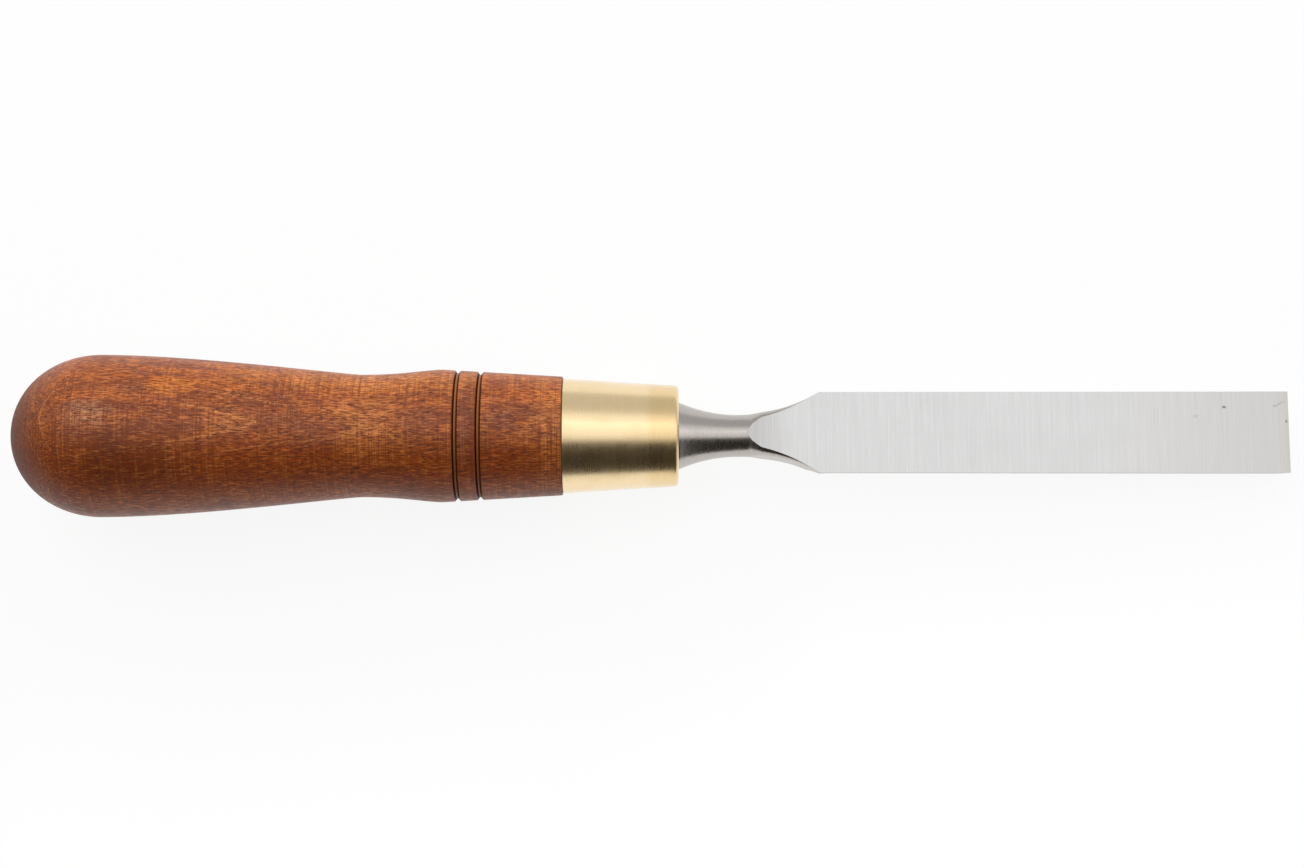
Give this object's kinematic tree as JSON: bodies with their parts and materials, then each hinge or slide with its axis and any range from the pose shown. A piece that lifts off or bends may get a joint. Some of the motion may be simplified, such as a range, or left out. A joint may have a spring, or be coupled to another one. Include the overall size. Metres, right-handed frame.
{
  "type": "bevel edge chisel",
  "caption": "Woodworking chisel with a flat-backed steel blade with bevelled sides, a round neck, a tapered brass ferrule and a turned, waisted wooden handle.",
  "frame": {"origin": "on the tool's axis, in the plane of the ferrule's front face, where the bolster enters the ferrule", "axes": "+X along the tool's axis towards the cutting edge, +Y across the blade, +Z out of the blade's flat back"},
  "size_m": [0.2482, 0.0318, 0.0318],
  "materials": {
    "stained_hardwood": "satin",
    "brass": "satin",
    "blade_steel": "ground"
  },
  "bodies": {
    "root": {"handle": "stained_hardwood", "ferrule": "brass", "blade": "blade_steel"}
  },
  "joints": []
}
